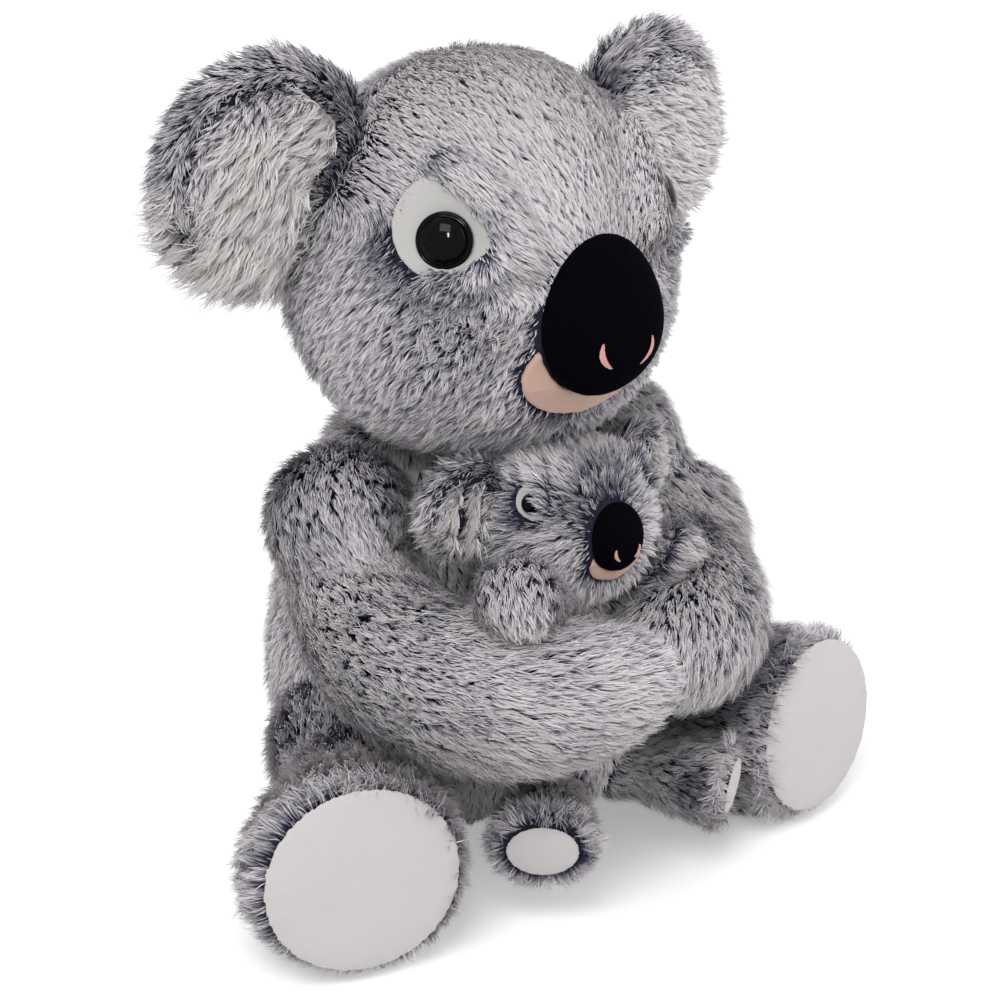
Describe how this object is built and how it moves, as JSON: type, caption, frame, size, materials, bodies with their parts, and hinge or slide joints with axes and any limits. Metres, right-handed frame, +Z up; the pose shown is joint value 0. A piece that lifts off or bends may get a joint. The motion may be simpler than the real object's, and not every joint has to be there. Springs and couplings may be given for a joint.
{
  "type": "plush koala with baby",
  "caption": "Seated long-pile plush koala hugging a small one: stuffed pieces joined by springy sewn seams.",
  "frame": {"origin": "on the floor under the middle of the seated body's flat bottom", "axes": "+Z up, the koala faces -Y, its right side at -X"},
  "size_m": [0.2832, 0.2097, 0.3146],
  "materials": {
    "arm_left_fur": "long mottled grey pile",
    "arm_right_fur": "long mottled grey pile",
    "baby_arm_left_fur": "long mottled grey pile",
    "baby_arm_right_fur": "long mottled grey pile",
    "baby_body_fur": "long mottled grey pile",
    "baby_ear_left_fur": "long mottled grey pile",
    "baby_ear_lining_left_ear_lining": "long white pile",
    "baby_ear_lining_right_ear_lining": "long white pile",
    "baby_ear_right_fur": "long mottled grey pile",
    "baby_eye_button_left_button": "black glossy safety eye",
    "baby_eye_button_right_button": "black glossy safety eye",
    "baby_eye_patch_left_felt": "white felt",
    "baby_eye_patch_right_felt": "white felt",
    "baby_eye_washer_left_washer": "moulded natural plastic",
    "baby_eye_washer_right_washer": "moulded natural plastic",
    "baby_head_fur": "long mottled grey pile",
    "baby_leg_left_fur": "long mottled grey pile",
    "baby_leg_right_fur": "long mottled grey pile",
    "baby_mouth_mouth": "peach short plush",
    "baby_nose_nose": "black short velvet",
    "baby_nostril_left_nostril": "pink embroidery",
    "baby_nostril_right_nostril": "pink embroidery",
    "baby_sole_left_sole": "short pale grey velour",
    "baby_sole_right_sole": "short pale grey velour",
    "body_fur": "long mottled grey pile",
    "ear_left_fur": "long mottled grey pile",
    "ear_lining_left_ear_lining": "long white pile",
    "ear_lining_right_ear_lining": "long white pile",
    "ear_right_fur": "long mottled grey pile",
    "eye_button_left_button": "black glossy safety eye",
    "eye_button_right_button": "black glossy safety eye",
    "eye_patch_left_felt": "white felt",
    "eye_patch_right_felt": "white felt",
    "eye_washer_left_washer": "moulded natural plastic",
    "eye_washer_right_washer": "moulded natural plastic",
    "head_fur": "long mottled grey pile",
    "leg_left_fur": "long mottled grey pile",
    "leg_right_fur": "long mottled grey pile",
    "mouth_mouth": "peach short plush",
    "nose_nose": "black short velvet",
    "nostril_left_nostril": "pink embroidery",
    "nostril_right_nostril": "pink embroidery",
    "sole_left_sole": "short pale grey velour",
    "sole_right_sole": "short pale grey velour"
  },
  "bodies": {
    "torso": {"body": "body_fur", "baby_body": "baby_body_fur"},
    "head_and_face": {"head": "head_fur", "eye_patch_right": "eye_patch_right_felt", "eye_patch_left": "eye_patch_left_felt", "eye_button_right": "eye_button_right_button", "eye_button_left": "eye_button_left_button", "eye_washer_right": "eye_washer_right_washer", "eye_washer_left": "eye_washer_left_washer", "nose": "nose_nose", "nostril_right": "nostril_right_nostril", "nostril_left": "nostril_left_nostril", "mouth": "mouth_mouth"},
    "baby_head_and_face": {"baby_head": "baby_head_fur", "baby_eye_patch_right": "baby_eye_patch_right_felt", "baby_eye_patch_left": "baby_eye_patch_left_felt", "baby_eye_button_right": "baby_eye_button_right_button", "baby_eye_button_left": "baby_eye_button_left_button", "baby_eye_washer_right": "baby_eye_washer_right_washer", "baby_eye_washer_left": "baby_eye_washer_left_washer", "baby_nose": "baby_nose_nose", "baby_nostril_right": "baby_nostril_right_nostril", "baby_nostril_left": "baby_nostril_left_nostril", "baby_mouth": "baby_mouth_mouth"},
    "right_ear": {"ear_right": "ear_right_fur", "ear_lining_right": "ear_lining_right_ear_lining"},
    "right_arm": {"arm_right": "arm_right_fur"},
    "right_leg": {"leg_right": "leg_right_fur", "sole_right": "sole_right_sole"},
    "left_ear": {"ear_left": "ear_left_fur", "ear_lining_left": "ear_lining_left_ear_lining"},
    "left_arm": {"arm_left": "arm_left_fur"},
    "left_leg": {"leg_left": "leg_left_fur", "sole_left": "sole_left_sole"},
    "baby_right_ear": {"baby_ear_right": "baby_ear_right_fur", "baby_ear_lining_right": "baby_ear_lining_right_ear_lining"},
    "baby_right_arm": {"baby_arm_right": "baby_arm_right_fur"},
    "baby_right_leg": {"baby_leg_right": "baby_leg_right_fur", "baby_sole_right": "baby_sole_right_sole"},
    "baby_left_ear": {"baby_ear_left": "baby_ear_left_fur", "baby_ear_lining_left": "baby_ear_lining_left_ear_lining"},
    "baby_left_arm": {"baby_arm_left": "baby_arm_left_fur"},
    "baby_left_leg": {"baby_leg_left": "baby_leg_left_fur", "baby_sole_left": "baby_sole_left_sole"}
  },
  "joints": [
    {"name": "neck", "type": "hinge", "parent": "torso", "child": "head_and_face", "pos_m": [0, 0.01, 0.166], "axis": [0, 0, 1], "range_deg": [-25, 25], "stiffness_Nm_per_rad": 0.6},
    {"name": "ear_right", "type": "hinge", "parent": "head_and_face", "child": "right_ear", "pos_m": [-0.06156, -0.00326, 0.25951], "axis": [-0.4178, 0.1088, -0.902], "range_deg": [-20, 20], "stiffness_Nm_per_rad": 0.08},
    {"name": "ear_left", "type": "hinge", "parent": "head_and_face", "child": "left_ear", "pos_m": [0.06436, -0.00328, 0.25191], "axis": [-0.3138, -0.0672, 0.9471], "range_deg": [-20, 20], "stiffness_Nm_per_rad": 0.08},
    {"name": "leg_right", "type": "hinge", "parent": "torso", "child": "right_leg", "pos_m": [-0.048, -0.002, 0.041], "axis": [0, 0, -1], "range_deg": [0, 20], "stiffness_Nm_per_rad": 0.8},
    {"name": "leg_left", "type": "hinge", "parent": "torso", "child": "left_leg", "pos_m": [0.048, -0.002, 0.041], "axis": [0, 0, 1], "range_deg": [0, 20], "stiffness_Nm_per_rad": 0.8},
    {"name": "arm_right", "type": "hinge", "parent": "torso", "child": "right_arm", "pos_m": [-0.06, -0.008, 0.138], "axis": [-0.1736, 0, -0.9848], "range_deg": [0, 20], "stiffness_Nm_per_rad": 0.5},
    {"name": "arm_left", "type": "hinge", "parent": "torso", "child": "left_arm", "pos_m": [0.064, -0.008, 0.143], "axis": [-0.1736, 0, 0.9848], "range_deg": [0, 20], "stiffness_Nm_per_rad": 0.5},
    {"name": "baby_neck", "type": "hinge", "parent": "torso", "child": "baby_head_and_face", "pos_m": [0.002, -0.061, 0.1145], "axis": [0, 0, 1], "range_deg": [-8, 8], "stiffness_Nm_per_rad": 0.08},
    {"name": "baby_ear_right", "type": "hinge", "parent": "baby_head_and_face", "child": "baby_right_ear", "pos_m": [-0.0267, -0.05606, 0.14891], "axis": [-0.2476, 0.0142, -0.9688], "range_deg": [-20, 20], "stiffness_Nm_per_rad": 0.01},
    {"name": "baby_ear_left", "type": "hinge", "parent": "baby_head_and_face", "child": "baby_left_ear", "pos_m": [0.03087, -0.05603, 0.14833], "axis": [-0.2287, -0.009, 0.9734], "range_deg": [-20, 20], "stiffness_Nm_per_rad": 0.01},
    {"name": "baby_arm_right", "type": "hinge", "parent": "torso", "child": "baby_right_arm", "pos_m": [-0.015, -0.063, 0.103], "axis": [-0.8125, 0.5829, 0], "range_deg": [0, 10], "stiffness_Nm_per_rad": 0.05},
    {"name": "baby_leg_right", "type": "hinge", "parent": "torso", "child": "baby_right_leg", "pos_m": [-0.006, -0.064, 0.038], "axis": [-0.7646, 0.6445, 0], "range_deg": [-8, 8], "stiffness_Nm_per_rad": 0.06},
    {"name": "baby_arm_left", "type": "hinge", "parent": "torso", "child": "baby_left_arm", "pos_m": [0.019, -0.063, 0.103], "axis": [-0.7071, -0.7071, 0], "range_deg": [0, 10], "stiffness_Nm_per_rad": 0.05},
    {"name": "baby_leg_left", "type": "hinge", "parent": "torso", "child": "baby_left_leg", "pos_m": [0.024, -0.064, 0.038], "axis": [-0.7646, -0.6445, 0], "range_deg": [-8, 8], "stiffness_Nm_per_rad": 0.06}
  ],
  "couplings": [
    {"joint": "baby_arm_right", "follows": "arm_right", "ratio": 0.5},
    {"joint": "baby_arm_left", "follows": "arm_left", "ratio": 0.5}
  ]
}
